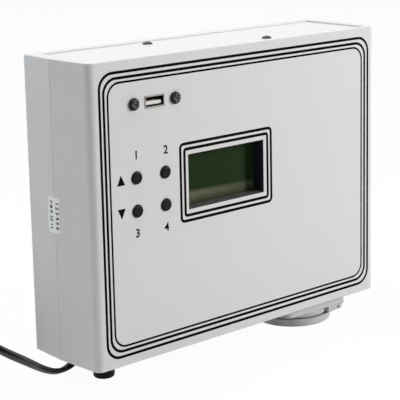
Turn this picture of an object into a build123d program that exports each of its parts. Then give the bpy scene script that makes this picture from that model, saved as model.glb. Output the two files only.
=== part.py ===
from build123d import *
import math
import os

# Programmable prayer-time clock: a flat white wall box with a display, four keys and a
# data socket on its face, a switched mains outlet, a fuse and a mains lead on its underside.
# Millimetres, +Z up, -Y is the front, Z = 0 is the table that the box stands on.

# Case
CASE_HEIGHT = 175.0
CASE_DEPTH = 61.0
FRONT_WIDTH = 228.0        # across the face
SEAM_WIDTH = 232.0         # widest, where the two mouldings meet
BACK_WIDTH = 229.0
SEAM_DEPTH = 33.5          # from the face back to the meeting line
FACE_WALL = 2.0
SIDE_WALL = 2.6
BACK_WALL = 3.0
FRONT_CORNER = 4.5
BACK_CORNER = 2.0
SEAM_CHAMFER = 0.25
END_EDGE = 0.5             # rounding along the outside of the top and bottom ends
END_WALL = 5.15            # top and bottom ends of the mouldings
PLATE_THICK = 2.0
PLATE_RECESS = 0.85
PLATE_WIDTH = 214.0
PLATE_BACK = 53.2          # rear edge of the plate opening, from the face
PLATE_LEDGE = 2.5
FIT_GAP = 0.15

# Display
DISPLAY_X = -15.2
DISPLAY_Z = 98.7
WINDOW_WIDTH = 60.0
WINDOW_HEIGHT = 32.6
WINDOW_NOSE = 0.5          # thickness of the dark nose that lines the window
NOSE_DEPTH = 0.35          # from the face back to the nose
GLASS_DEPTH = 8.3          # from the face back to the glass

# Keys
KEY_LEFT_X = -83.2
KEY_RIGHT_X = -62.4
KEY_UPPER_Z = 107.4
KEY_LOWER_Z = 88.3
KEY_RADIUS = 3.6
KEY_PROUD = 1.3

# Data socket
USB_X = -68.9
USB_Z = 149.2
USB_CUT_WIDTH = 13.5
USB_CUT_HEIGHT = 6.1
USB_SCREW_SPACING = 30.0
FACE_SCREW_RADIUS = 3.6
FACE_SCREW_HEIGHT = 2.1    # the furthest that anything stands out of the face

# Underside
OUTLET_DROP = 14.2         # lid and fuse cap reach this far below the case
OUTLET_X = 62.3
OUTLET_Y = 28.0
FLANGE_X = (37.3, 89.6)
FLANGE_LENGTH = 50.0
FLANGE_CORNERS = (5.0, 1.0)  # radii of its left and right corners
FLANGE_EDGE = 0.3
FLANGE_LIP = 1.3           # height of the bevelled lip round its lower edge
FLANGE_INSET = 0.6         # how far the flange stands back above the lip
FLANGE_DROP = 5.0
COLLAR_DROP = 8.6
LID_X = 65.6
LID_RADIUS = 24.9
LID_TOP = 9.6
COLLAR_RADIUS = 23.3
WELL_RADIUS = 19.3
WELL_DEPTH = 17.6
CUP_RADIUS = 20.6
CUP_TOP = 26.0
PIN_SPACING = 19.0
HINGE_X = 83.9
HINGE_DROP = 7.0
FUSE_X = -90.9
FUSE_Y = 26.5
FUSE_CAP_RADIUS = 6.3
LEAD_X = -95.0
LEAD_Y = 46.0

# Mains lead
LEAD_WIDTH = 5.2
TUBE_RADIUS = 2.1
TUBE_CENTRE = 2.15         # height of the lead's middle where it lies on the table
COIL_RADIUS = 37.75        # of the outermost turn
COIL_LAYER_TURNS = 4.0
COIL_PITCH = 3.3
COIL_X = -150.95
COIL_Y = 124.0
TAIL_TURN = math.radians(205)  # where on the coil the tail leaves it
PLUG_X = -176.0
PLUG_REAR = 83.0

# The box is centred on the origin from the outermost point of its face to its back.
FRONT = -(CASE_DEPTH - FACE_SCREW_HEIGHT) / 2
BASE = OUTLET_DROP
FLOOR = -OUTLET_DROP       # the table, in heights counted from the case's bottom


# Case coordinates: x from the middle, y back from the face, z up from the case's bottom.
def place(x, y, z):
    return (x, FRONT + y, BASE + z)


def block(x, y, z):
    """Box over three (low, high) pairs in case coordinates."""
    size = [pair[1] - pair[0] for pair in (x, y, z)]
    middle = [(pair[0] + pair[1]) / 2 for pair in (x, y, z)]
    return Pos(*place(*middle)) * Box(*size)


def upright(x, y, radius, z_low, z_high):
    """Cylinder along Z in case coordinates."""
    centre = place(x, y, (z_low + z_high) / 2)
    return Pos(*centre) * Cylinder(radius, z_high - z_low)


def level(x, z, radius, y_low, y_high):
    """Cylinder along Y in case coordinates."""
    centre = place(x, (y_low + y_high) / 2, z)
    return Pos(*centre) * Rot(90, 0, 0) * Cylinder(radius, y_high - y_low)


def save(name, *solids):
    """Write one named sub-part, a group of separate solids where several are given."""
    body = solids[0] if len(solids) == 1 else Compound(children=list(solids))
    export_step(body, "parts/" + name + ".step")
    print(name, round(body.volume, 1))


def both_sides(x):
    return (-x, x)


def corners(x, z):
    return [(sx, sz) for sx in x for sz in z]


# ---------------------------------------------------------------- case mouldings
def plan_block(points, z_low, z_high):
    """Upright prism on an outline given as (x, depth) points."""
    outline = Polyline(*[(x, FRONT + y) for x, y in points], close=True)
    return Pos(0, 0, BASE + z_low) * extrude(make_face(outline), z_high - z_low)


def plate_opening():
    """What the top and bottom plates and their ledges take out of both mouldings."""
    half = PLATE_WIDTH / 2
    through = block((-half + PLATE_LEDGE, half - PLATE_LEDGE),
                    (FACE_WALL + PLATE_LEDGE, PLATE_BACK - PLATE_LEDGE),
                    (-1, CASE_HEIGHT + 1))
    seat = PLATE_RECESS + PLATE_THICK
    rebates = []
    for low, high in ((-1, seat), (CASE_HEIGHT - seat, CASE_HEIGHT + 1)):
        rebates.append(block((-half, half), (FACE_WALL, PLATE_BACK), (low, high)))
    return through + rebates[0] + rebates[1]


BOSS_X = 105.5
BOSS_Z = (12.0, CASE_HEIGHT - 12.0)
BOSS_RADIUS = 4.5
CASE_SCREW_RADIUS = 1.75
SCREW_SEAT = 45.0          # depth of the shoulder that the long case screws pull on
HEAD_RADIUS = 3.4

DISPLAY_BOARD = (75.0, 52.7)
DISPLAY_BOARD_Y = 12.6
BOARD_THICK = 1.6
DISPLAY_POSTS = corners(both_sides(35.0), both_sides(23.85))
KEY_BOARD_X = (KEY_LEFT_X + KEY_RIGHT_X) / 2
KEY_BOARD_Z = (KEY_UPPER_Z + KEY_LOWER_Z) / 2
KEY_BOARD = (36.0, 46.0)
KEY_BOARD_Y = 14.0
KEY_POSTS = [(0.0, 19.5), (0.0, -19.5)]
POST_RADIUS = 2.75
SMALL_SCREW_RADIUS = 1.3
PLATE_SCREW_FRONT = (29.0, 10.9)
PLATE_SCREW_REAR = (-36.0, 45.5)
PLATE_SCREW_RADIUS = 1.6
PLATE_SCREW_LENGTH = 9.0


def seat_levels():
    """Inner faces of the bottom and top plates, with the way towards the case's middle."""
    seat = PLATE_RECESS + PLATE_THICK
    return ((seat, 1), (CASE_HEIGHT - seat, -1))


def screw_tab(x, y, wall_low, wall_high, level_z, way):
    """Tab under a plate that one of its screws goes into."""
    depth = PLATE_SCREW_LENGTH + 1
    ends = sorted((level_z, level_z + way * depth))
    tab = block((x - 4.5, x + 4.5), (wall_low, wall_high), tuple(ends))
    return tab - upright(x, y, PLATE_SCREW_RADIUS, ends[0] - 1, ends[1] + 1)


def end_edges(body):
    """Outer edges of a moulding's top and bottom ends, without those at the meeting line."""
    ends = body.faces().filter_by(Axis.Z)
    meeting = FRONT + SEAM_DEPTH
    return [edge for face in ends for edge in face.edges()
            if abs(edge.center().Y - meeting) > 0.01]


def make_front_cover():
    front = FRONT_WIDTH / 2
    seam = SEAM_WIDTH / 2
    outline = [(-front, 0), (front, 0), (seam, SEAM_DEPTH), (-seam, SEAM_DEPTH)]
    body = plan_block(outline, 0, CASE_HEIGHT)
    uprights = body.edges().filter_by(Axis.Z).sort_by(Axis.Y)
    body = fillet(uprights[0:2], FRONT_CORNER)
    body = fillet(end_edges(body), END_EDGE)
    rims = body.edges().filter_by(Axis.Z).sort_by(Axis.Y)[-2:]
    body = chamfer(rims, SEAM_CHAMFER)
    hollow = [(-front + SIDE_WALL, FACE_WALL), (front - SIDE_WALL, FACE_WALL),
              (seam - SIDE_WALL, SEAM_DEPTH + 1), (-seam + SIDE_WALL, SEAM_DEPTH + 1)]
    body -= plan_block(hollow, END_WALL, CASE_HEIGHT - END_WALL)
    body -= plate_opening()
    for x, z in corners(both_sides(BOSS_X), BOSS_Z):
        body += level(x, z, BOSS_RADIUS, FACE_WALL, SEAM_DEPTH)
        body -= level(x, z, CASE_SCREW_RADIUS, FACE_WALL + 8, SEAM_DEPTH + 1)
    half_w = WINDOW_WIDTH / 2
    half_h = WINDOW_HEIGHT / 2
    body -= block((DISPLAY_X - half_w, DISPLAY_X + half_w), (-1, FACE_WALL + 1),
                  (DISPLAY_Z - half_h, DISPLAY_Z + half_h))
    for dx, dz in DISPLAY_POSTS:
        body += level(DISPLAY_X + dx, DISPLAY_Z + dz, POST_RADIUS, FACE_WALL, DISPLAY_BOARD_Y)
        body -= level(DISPLAY_X + dx, DISPLAY_Z + dz, SMALL_SCREW_RADIUS,
                      FACE_WALL + 3, DISPLAY_BOARD_Y + 1)
    for dx, dz in KEY_POSTS:
        body += level(KEY_BOARD_X + dx, KEY_BOARD_Z + dz, POST_RADIUS, FACE_WALL, KEY_BOARD_Y)
        body -= level(KEY_BOARD_X + dx, KEY_BOARD_Z + dz, SMALL_SCREW_RADIUS,
                      FACE_WALL + 3, KEY_BOARD_Y + 1)
    for x in (KEY_LEFT_X, KEY_RIGHT_X):
        for z in (KEY_UPPER_Z, KEY_LOWER_Z):
            body -= level(x, z, KEY_RADIUS + 0.2, -1, FACE_WALL + 1)
    body -= block((USB_X - USB_CUT_WIDTH / 2, USB_X + USB_CUT_WIDTH / 2), (-1, FACE_WALL + 1),
                  (USB_Z - USB_CUT_HEIGHT / 2, USB_Z + USB_CUT_HEIGHT / 2))
    for side in both_sides(USB_SCREW_SPACING / 2):
        body -= level(USB_X + side, USB_Z, 1.6, -1, FACE_WALL + 1)
    x, y = PLATE_SCREW_FRONT
    for level_z, way in seat_levels():
        body += screw_tab(x, y, FACE_WALL, y + 4, level_z, way)
    return body


KEYHOLE_X = 70.0
KEYHOLE_Z = 148.0
KEYHOLE_HEAD_RADIUS = 4.5
KEYHOLE_SLOT_RADIUS = 2.3
KEYHOLE_RISE = 8.0
MAIN_BOARD_X = (-30.0, 92.0)
MAIN_BOARD_Z = (58.0, 142.0)
MAIN_BOARD_Y = 48.4        # its front face
MAIN_POSTS = corners((-26.0, 88.0), (62.0, 138.0))
TRANSFORMER_X = -40.0
TRANSFORMER_Z = 34.0


def make_rear_tray():
    seam = SEAM_WIDTH / 2
    back = BACK_WIDTH / 2
    outline = [(-seam, SEAM_DEPTH), (seam, SEAM_DEPTH), (back, CASE_DEPTH), (-back, CASE_DEPTH)]
    body = plan_block(outline, 0, CASE_HEIGHT)
    uprights = body.edges().filter_by(Axis.Z).sort_by(Axis.Y)
    body = fillet(uprights[-2:], BACK_CORNER)
    body = fillet(end_edges(body), END_EDGE)
    rims = body.edges().filter_by(Axis.Z).sort_by(Axis.Y)[0:2]
    body = chamfer(rims, SEAM_CHAMFER)
    inner = CASE_DEPTH - BACK_WALL
    hollow = [(-seam + SIDE_WALL, SEAM_DEPTH - 1), (seam - SIDE_WALL, SEAM_DEPTH - 1),
              (back - SIDE_WALL, inner), (-back + SIDE_WALL, inner)]
    body -= plan_block(hollow, END_WALL, CASE_HEIGHT - END_WALL)
    body -= plate_opening()
    for x, z in corners(both_sides(BOSS_X), BOSS_Z):
        body += level(x, z, BOSS_RADIUS, SEAM_DEPTH, inner)
        body -= level(x, z, CASE_SCREW_RADIUS + 0.1, SEAM_DEPTH - 1, SCREW_SEAT + 1)
        body -= level(x, z, HEAD_RADIUS + 0.1, SCREW_SEAT, CASE_DEPTH + 1)
    for x, z in MAIN_POSTS:
        body += level(x, z, POST_RADIUS, MAIN_BOARD_Y + BOARD_THICK, inner)
        body -= level(x, z, SMALL_SCREW_RADIUS, MAIN_BOARD_Y, inner - 1)
    for side in both_sides(26.0):
        body += level(TRANSFORMER_X + side, TRANSFORMER_Z, 4.0, 53.0, inner)
        body -= level(TRANSFORMER_X + side, TRANSFORMER_Z, 1.75, 52.0, inner - 1)
    for x in both_sides(KEYHOLE_X):
        body -= level(x, KEYHOLE_Z, KEYHOLE_HEAD_RADIUS, inner - 1, CASE_DEPTH + 1)
        body -= level(x, KEYHOLE_Z + KEYHOLE_RISE, KEYHOLE_SLOT_RADIUS, inner - 1, CASE_DEPTH + 1)
        body -= block((x - KEYHOLE_SLOT_RADIUS, x + KEYHOLE_SLOT_RADIUS),
                      (inner - 1, CASE_DEPTH + 1), (KEYHOLE_Z, KEYHOLE_Z + KEYHOLE_RISE))
    x, y = PLATE_SCREW_REAR
    for level_z, way in seat_levels():
        body += screw_tab(x, y, y - 4, inner, level_z, way)
    return body


def make_plate(z_low):
    half = PLATE_WIDTH / 2 - FIT_GAP
    plate = block((-half, half), (FACE_WALL + FIT_GAP, PLATE_BACK - FIT_GAP),
                  (z_low, z_low + PLATE_THICK))
    for x, y in (PLATE_SCREW_FRONT, PLATE_SCREW_REAR):
        plate -= upright(x, y, PLATE_SCREW_RADIUS + 0.1, z_low - 1, z_low + PLATE_THICK + 1)
    return plate


OUTLET_SCREW_X = 16.3
OUTLET_SCREW_Y = 21.0
OUTLET_SCREW_RADIUS = 1.5
BUSHING_RADIUS = 4.0
FUSE_THREAD_RADIUS = 5.9


def make_bottom_plate():
    plate = make_plate(PLATE_RECESS)
    top = PLATE_RECESS + PLATE_THICK + 1
    plate -= upright(OUTLET_X, OUTLET_Y, CUP_RADIUS + 0.3, 0, top)
    for dx, dy in corners(both_sides(OUTLET_SCREW_X), both_sides(OUTLET_SCREW_Y)):
        plate -= upright(OUTLET_X + dx, OUTLET_Y + dy, OUTLET_SCREW_RADIUS, 0, top)
    plate -= upright(FUSE_X, FUSE_Y, FUSE_THREAD_RADIUS + 0.1, 0, top)
    plate -= upright(LEAD_X, LEAD_Y, BUSHING_RADIUS, 0, top)
    return plate


DOME_HEAD_RADIUS = 3.3
DOME_HEIGHT = 1.7


def dome_screw(x, y, z, way, reach=PLATE_SCREW_LENGTH):
    """Dome-head screw along Z, its seat at height z and its head towards 'way'."""
    sphere_radius = (DOME_HEAD_RADIUS ** 2 + DOME_HEIGHT ** 2) / (2 * DOME_HEIGHT)
    drop = sphere_radius - DOME_HEIGHT
    ball = Pos(*place(x, y, z - way * drop)) * Sphere(sphere_radius)
    span = sorted((z, z + way * (DOME_HEIGHT + 1)))
    head = ball & upright(x, y, DOME_HEAD_RADIUS, span[0], span[1])
    slot_low, slot_high = sorted((z + way * (DOME_HEIGHT - 1.0), z + way * (DOME_HEIGHT + 1)))
    head -= block((x - 1.9, x + 1.9), (y - 0.4, y + 0.4), (slot_low, slot_high))
    head -= block((x - 0.4, x + 0.4), (y - 1.9, y + 1.9), (slot_low, slot_high))
    shank_low, shank_high = sorted((z, z - way * reach))
    return head + upright(x, y, PLATE_SCREW_RADIUS, shank_low, shank_high)


def plate_screws(z, way):
    return [dome_screw(x, y, z, way) for x, y in (PLATE_SCREW_FRONT, PLATE_SCREW_REAR)]


def face_back_screw(x, z, seat, head_radius, head_height, radius, tip):
    """Pan-head screw along Y whose head is behind its seat and whose tip is in front."""
    head = level(x, z, head_radius, seat, seat + head_height)
    rim = head.edges().sort_by(Axis.Y)[-1]
    head = fillet(rim, head_height * 0.4)
    head -= block((x - head_radius * 0.55, x + head_radius * 0.55),
                  (seat + head_height * 0.5, seat + head_height + 1), (z - 0.4, z + 0.4))
    head -= block((x - 0.4, x + 0.4), (seat + head_height * 0.5, seat + head_height + 1),
                  (z - head_radius * 0.55, z + head_radius * 0.55))
    return head + level(x, z, radius, tip, seat)


def make_case_screws():
    return [face_back_screw(x, z, SCREW_SEAT, HEAD_RADIUS, 2.4, CASE_SCREW_RADIUS, 14.0)
            for x, z in corners(both_sides(BOSS_X), BOSS_Z)]


LABEL_LOW = 75.6
LABEL_HIGH = 96.2
LABEL_FRONT = 29.2
LABEL_REAR = 40.4
LABEL_THICK = 0.15


def wall_x(depth):
    """Half width of the case at a depth from the face."""
    if depth <= SEAM_DEPTH:
        share = depth / SEAM_DEPTH
        return (FRONT_WIDTH + (SEAM_WIDTH - FRONT_WIDTH) * share) / 2
    share = (depth - SEAM_DEPTH) / (CASE_DEPTH - SEAM_DEPTH)
    return (SEAM_WIDTH + (BACK_WIDTH - SEAM_WIDTH) * share) / 2


def make_seal_label():
    depths = (LABEL_FRONT, SEAM_DEPTH, LABEL_REAR)
    outer = [(-wall_x(depth) - LABEL_THICK, depth) for depth in depths]
    inner = [(-wall_x(depth), depth) for depth in reversed(depths)]
    label = plan_block(outer + inner, LABEL_LOW, LABEL_HIGH)
    return label


# ---------------------------------------------------------------- display
def frame_block(outer_w, outer_h, inner_w, inner_h, y_low, y_high):
    """Rectangular frame around the display's middle."""
    outer = block((DISPLAY_X - outer_w / 2, DISPLAY_X + outer_w / 2), (y_low, y_high),
                  (DISPLAY_Z - outer_h / 2, DISPLAY_Z + outer_h / 2))
    inner = block((DISPLAY_X - inner_w / 2, DISPLAY_X + inner_w / 2), (y_low - 1, y_high + 1),
                  (DISPLAY_Z - inner_h / 2, DISPLAY_Z + inner_h / 2))
    return outer - inner


BEZEL_OUTER = (70.0, 40.6)
BEZEL_LIP = 0.6


def make_display_spacer():
    """Dark frame from the glass to the face, with a thin nose inside the window."""
    opening = (WINDOW_WIDTH - 2 * WINDOW_NOSE, WINDOW_HEIGHT - 2 * WINDOW_NOSE)
    frame = frame_block(67.5, 40.6, *opening, FACE_WALL, GLASS_DEPTH - BEZEL_LIP)
    nose = frame_block(WINDOW_WIDTH, WINDOW_HEIGHT, *opening, NOSE_DEPTH, FACE_WALL)
    return frame + nose


def make_display_bezel():
    lip = frame_block(*BEZEL_OUTER, WINDOW_WIDTH - 0.6, WINDOW_HEIGHT - 0.6,
                      GLASS_DEPTH - BEZEL_LIP, GLASS_DEPTH)
    skirt = frame_block(*BEZEL_OUTER, BEZEL_OUTER[0] - 1.2, BEZEL_OUTER[1] - 1.2,
                        GLASS_DEPTH, DISPLAY_BOARD_Y)
    return lip + skirt


def make_display_glass():
    half_w = BEZEL_OUTER[0] / 2 - 0.8
    half_h = BEZEL_OUTER[1] / 2 - 0.8
    return block((DISPLAY_X - half_w, DISPLAY_X + half_w), (GLASS_DEPTH, DISPLAY_BOARD_Y),
                 (DISPLAY_Z - half_h, DISPLAY_Z + half_h))


def drilled_board(x, z, y_front, holes):
    board = block(x, (y_front, y_front + BOARD_THICK), z)
    for hole_x, hole_z in holes:
        board -= level(hole_x, hole_z, SMALL_SCREW_RADIUS + 0.2, y_front - 1,
                       y_front + BOARD_THICK + 1)
    return board


def display_holes():
    return [(DISPLAY_X + dx, DISPLAY_Z + dz) for dx, dz in DISPLAY_POSTS]


def key_holes():
    return [(KEY_BOARD_X + dx, KEY_BOARD_Z + dz) for dx, dz in KEY_POSTS]


def make_display_board():
    half_w = DISPLAY_BOARD[0] / 2
    half_h = DISPLAY_BOARD[1] / 2
    return drilled_board((DISPLAY_X - half_w, DISPLAY_X + half_w),
                         (DISPLAY_Z - half_h, DISPLAY_Z + half_h),
                         DISPLAY_BOARD_Y, display_holes())


# ---------------------------------------------------------------- keys
SWITCH_FRONT = 10.4


def make_key(x, z):
    """Domed cap with a shoulder behind the face and a stem down to its switch."""
    cap = level(x, z, KEY_RADIUS, -KEY_PROUD, 3.4)
    cap = fillet(cap.edges().sort_by(Axis.Y)[0], 1.1)
    shoulder = level(x, z, KEY_RADIUS + 1.0, 2.4, 3.4)
    stem = level(x, z, 2.4, 3.4, 9.4)
    plunger = level(x, z, 1.7, 9.4, 11.9)
    return cap + shoulder + stem + plunger


def key_places():
    return [(x, z) for x in (KEY_LEFT_X, KEY_RIGHT_X) for z in (KEY_UPPER_Z, KEY_LOWER_Z)]


def make_switches():
    switches = []
    for x, z in key_places():
        body = block((x - 3, x + 3), (SWITCH_FRONT, KEY_BOARD_Y), (z - 3, z + 3))
        body -= level(x, z, 1.95, SWITCH_FRONT - 1, SWITCH_FRONT + 2.4)
        switches.append(body)
    return switches


def make_key_board():
    half_w = KEY_BOARD[0] / 2
    half_h = KEY_BOARD[1] / 2
    return drilled_board((KEY_BOARD_X - half_w, KEY_BOARD_X + half_w),
                         (KEY_BOARD_Z - half_h, KEY_BOARD_Z + half_h),
                         KEY_BOARD_Y, key_holes())


def make_board_screws():
    """The alike small screws of the display, key and main boards."""
    screws = []
    for x, z in display_holes():
        seat = DISPLAY_BOARD_Y + BOARD_THICK
        screws.append(face_back_screw(x, z, seat, 2.6, 1.8, SMALL_SCREW_RADIUS, seat - 8))
    for x, z in key_holes():
        seat = KEY_BOARD_Y + BOARD_THICK
        screws.append(face_back_screw(x, z, seat, 2.6, 1.8, SMALL_SCREW_RADIUS, seat - 8))
    for x, z in MAIN_POSTS:
        screws.append(front_screw(x, z, MAIN_BOARD_Y, 2.6, 1.8, SMALL_SCREW_RADIUS, 8))
    return screws


def front_screw(x, z, seat, head_radius, head_height, radius, reach, roundness=0.45):
    """Pan-head cross-slot screw along Y whose head faces the front."""
    head = level(x, z, head_radius, seat - head_height, seat)
    head = fillet(head.edges().sort_by(Axis.Y)[0], head_height * roundness)
    floor = seat - head_height * 0.45
    for wide, tall in ((0.55, 0.14), (0.14, 0.55)):
        head -= block((x - head_radius * wide, x + head_radius * wide),
                      (seat - head_height - 1, floor),
                      (z - head_radius * tall, z + head_radius * tall))
    return head + level(x, z, radius, seat, seat + reach)


# ---------------------------------------------------------------- data socket
SHELL_OUTER = (13.1, 5.7)
SHELL_WALL = 0.35
SHELL_LIP = (14.3, 7.2)    # flared rim that lies on the face
SHELL_LIP_THICK = 0.3
SHELL_REAR = 17.0
TONGUE = (11.1, 2.0)
TONGUE_FRONT = 1.0
TONGUE_DROP = 0.8          # the tongue sits low, its contacts on top


def usb_block(width, height, y_low, y_high, z_shift=0.0):
    return block((USB_X - width / 2, USB_X + width / 2), (y_low, y_high),
                 (USB_Z + z_shift - height / 2, USB_Z + z_shift + height / 2))


def make_usb_shell():
    """Folded shell, its mouth flared over the edge of the cut-out."""
    inner_w = SHELL_OUTER[0] - 2 * SHELL_WALL
    inner_h = SHELL_OUTER[1] - 2 * SHELL_WALL
    shell = usb_block(*SHELL_OUTER, 0, SHELL_REAR) + usb_block(*SHELL_LIP, -SHELL_LIP_THICK, 0)
    shell -= usb_block(inner_w, inner_h, -1, SHELL_REAR - 3)
    return shell - usb_block(inner_w + 0.5, inner_h + 0.5, -1, SHELL_LIP_THICK)


def make_usb_body():
    ears = usb_block(39.0, 12.0, FACE_WALL, FACE_WALL + 4)
    ears = fillet(ears.edges().filter_by(Axis.Y), 5.0)
    core = usb_block(18.0, 11.0, FACE_WALL, 26.0)
    body = ears + core
    body -= usb_block(*SHELL_OUTER, FACE_WALL - 1, SHELL_REAR)
    for side in both_sides(USB_SCREW_SPACING / 2):
        body -= level(USB_X + side, USB_Z, 1.5, 0, 8)
    return body


def make_usb_tongue():
    return usb_block(*TONGUE, TONGUE_FRONT, SHELL_REAR - 3, -TONGUE_DROP)


def make_usb_contacts():
    strips = []
    for index in range(4):
        x = USB_X + (index - 1.5) * 2.4
        top = USB_Z - TONGUE_DROP + TONGUE[1] / 2
        strips.append(block((x - 0.5, x + 0.5), (3.0, SHELL_REAR - 3), (top, top + 0.2)))
    return strips


def make_usb_screws():
    return [front_screw(USB_X + side, USB_Z, 0.0, FACE_SCREW_RADIUS, FACE_SCREW_HEIGHT, 1.5, 7.5,
                        roundness=0.85)
            for side in both_sides(USB_SCREW_SPACING / 2)]


# ---------------------------------------------------------------- electronics
def make_main_board():
    return drilled_board(MAIN_BOARD_X, MAIN_BOARD_Z, MAIN_BOARD_Y, MAIN_POSTS)


def on_board(x, z, height):
    """Box standing on the main board's front face: x and z are (low, high) pairs."""
    return block(x, (MAIN_BOARD_Y - height, MAIN_BOARD_Y), z)


def make_microchips():
    return [on_board((-20, 32), (112, 125.7), 4.0), on_board((42, 62), (113, 120.6), 4.0)]


def make_capacitors():
    cans = []
    for x, z, radius, height in ((58, 84, 6.25, 20), (42, 86, 4.0, 12), (42, 74, 4.0, 12)):
        can = level(x, z, radius, MAIN_BOARD_Y - height, MAIN_BOARD_Y)
        cans.append(fillet(can.edges().sort_by(Axis.Y)[0], 0.8))
    return cans


def make_regulator():
    return on_board((4.5, 14.5), (95.5, 100), 16.0)


def make_heat_sink():
    plate = on_board((-1, 20), (100, 102), 20.0)
    for index in range(5):
        x = -1 + index * 4.875
        plate += on_board((x, x + 1.5), (102, 109), 20.0)
    return plate


def make_cell_holder():
    ring = level(-12, 82, 12.0, MAIN_BOARD_Y - 5, MAIN_BOARD_Y)
    return ring - level(-12, 82, 10.15, MAIN_BOARD_Y - 6, MAIN_BOARD_Y - 1.5)


def make_coin_cell():
    return level(-12, 82, 10.0, MAIN_BOARD_Y - 4.7, MAIN_BOARD_Y - 1.5)


def make_headers():
    return [on_board((-10, 31), (131, 136), 8.5), on_board((40, 54), (131, 136), 8.5),
            on_board((70, 76), (110, 124), 6.5)]


def make_terminal_block():
    body = on_board((48, 78), (60, 70), 12.0)
    for index in range(6):
        x = 50.5 + index * 5
        body -= level(x, 65, 1.8, MAIN_BOARD_Y - 13, MAIN_BOARD_Y - 8)
        body -= block((x - 1.5, x + 1.5), (MAIN_BOARD_Y - 6, MAIN_BOARD_Y - 2), (59, 64))
    return body


def make_relay():
    body = on_board((70, 89), (76, 92), 15.5)
    return fillet(body.edges().filter_by(Axis.Y), 0.8)


CORE = (42.0, 35.0)
CORE_Y = (36.0, 52.0)


def core_block(width, height, y_low, y_high, x_shift=0.0):
    x = TRANSFORMER_X + x_shift
    return block((x - width / 2, x + width / 2), (y_low, y_high),
                 (TRANSFORMER_Z - height / 2, TRANSFORMER_Z + height / 2))


def make_transformer_core():
    core = core_block(*CORE, *CORE_Y)
    for shift in both_sides(10.5):
        core -= core_block(7.0, 21.0, CORE_Y[0] - 1, CORE_Y[1] + 1, shift)
    return core


def make_transformer_winding():
    winding = core_block(27.4, 20.6, CORE_Y[0] - 5.5, CORE_Y[1] + 5.5)
    winding -= core_block(14.0, 30.0, *CORE_Y)
    return winding


def make_transformer_brackets():
    brackets = []
    for side in (-1, 1):
        inner = CORE[0] / 2
        leg_x = sorted((side * inner, side * (inner + 1.0)))
        leg = block((TRANSFORMER_X + leg_x[0], TRANSFORMER_X + leg_x[1]), (CORE_Y[0], 53.0),
                    (TRANSFORMER_Z - 6, TRANSFORMER_Z + 6))
        foot_x = sorted((side * inner, side * (inner + 10.0)))
        foot = block((TRANSFORMER_X + foot_x[0], TRANSFORMER_X + foot_x[1]), (52.0, 53.0),
                     (TRANSFORMER_Z - 6, TRANSFORMER_Z + 6))
        foot -= level(TRANSFORMER_X + side * 26.0, TRANSFORMER_Z, 1.85, 51, 54)
        brackets.append(leg + foot)
    return brackets


def make_transformer_screws():
    return [front_screw(TRANSFORMER_X + side, TRANSFORMER_Z, 52.0, 3.0, 2.0, 1.75, 4.8)
            for side in both_sides(26.0)]


def lead(radius, points, bends):
    """Round wire along straight runs joined by tangent arcs, in case coordinates."""
    line = FilletPolyline(*[place(*point) for point in points], radius=bends)
    start = Plane(line @ 0, z_dir=line % 0)
    return sweep(start * Circle(radius), path=line)


def make_inner_leads():
    """Mains wires from the lead and the fuse to the board, and from the board to the outlet."""
    return [
        lead(1.1, [(LEAD_X, LEAD_Y, 19), (LEAD_X, LEAD_Y, 30), (-80, 42, 46), (-76, 40, 56),
                   (-40, 40, 57), (20, 40, 56.5), (50.5, 42, 55), (50.5, 42, 59.5)],
             [5, 6, 4, 5, 8, 3]),
        lead(1.1, [(FUSE_X, FUSE_Y, 39), (FUSE_X, FUSE_Y, 50), (-84, 30, 62), (-30, 36, 63),
                   (10, 36, 59.5), (42, 36, 53), (55.5, 43, 53), (55.5, 43, 59.5)],
             [5, 6, 8, 8, 5, 3]),
        lead(1.1, [(OUTLET_X - PIN_SPACING / 2, OUTLET_Y, 28), (52.8, 28, 36), (58, 34, 44),
                   (65.5, 43, 50), (65.5, 43, 59.5)], [3, 4, 4]),
        lead(1.1, [(OUTLET_X + PIN_SPACING / 2, OUTLET_Y, 28), (71.8, 28, 36), (73, 34, 44),
                   (75.5, 43, 50), (75.5, 43, 59.5)], [3, 4, 4]),
    ]


# ---------------------------------------------------------------- fuse
FUSE_SHOULDER = 1.6


def make_fuse_holder():
    shoulder_top = PLATE_RECESS
    shoulder = upright(FUSE_X, FUSE_Y, 7.3, shoulder_top - FUSE_SHOULDER, shoulder_top)
    body = upright(FUSE_X, FUSE_Y, FUSE_THREAD_RADIUS, shoulder_top, 32.0)
    body += shoulder
    body -= upright(FUSE_X, FUSE_Y, 3.9, -2, 29.0)
    body += upright(FUSE_X, FUSE_Y, 1.6, 32.0, 38.0)
    return body


def make_fuse_nut():
    low = PLATE_RECESS + PLATE_THICK
    hexagon = Pos(*place(FUSE_X, FUSE_Y, low)) * extrude(RegularPolygon(8.6, 6), 3.0)
    return hexagon - upright(FUSE_X, FUSE_Y, FUSE_THREAD_RADIUS, low - 1, low + 4)


def make_fuse_cap():
    top = PLATE_RECESS - FUSE_SHOULDER - 0.2
    cap = upright(FUSE_X, FUSE_Y, FUSE_CAP_RADIUS, FLOOR, top)
    cap = fillet(cap.edges().sort_by(Axis.Z)[0], 1.5)
    cap -= block((FUSE_X - 4.0, FUSE_X + 4.0), (FUSE_Y - 0.6, FUSE_Y + 0.6),
                 (FLOOR - 1, FLOOR + 1.4))
    carrier = upright(FUSE_X, FUSE_Y, 3.6, top, 6.0)
    carrier -= upright(FUSE_X, FUSE_Y, 2.65, 1.0, 7.0)
    return cap + carrier


def make_fuse():
    tube = upright(FUSE_X, FUSE_Y, 2.3, 6.2, 16.0)
    low_cap = upright(FUSE_X, FUSE_Y, 2.6, 1.0, 6.2)
    high_cap = upright(FUSE_X, FUSE_Y, 2.6, 16.0, 21.2)
    return tube + low_cap + high_cap


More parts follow.
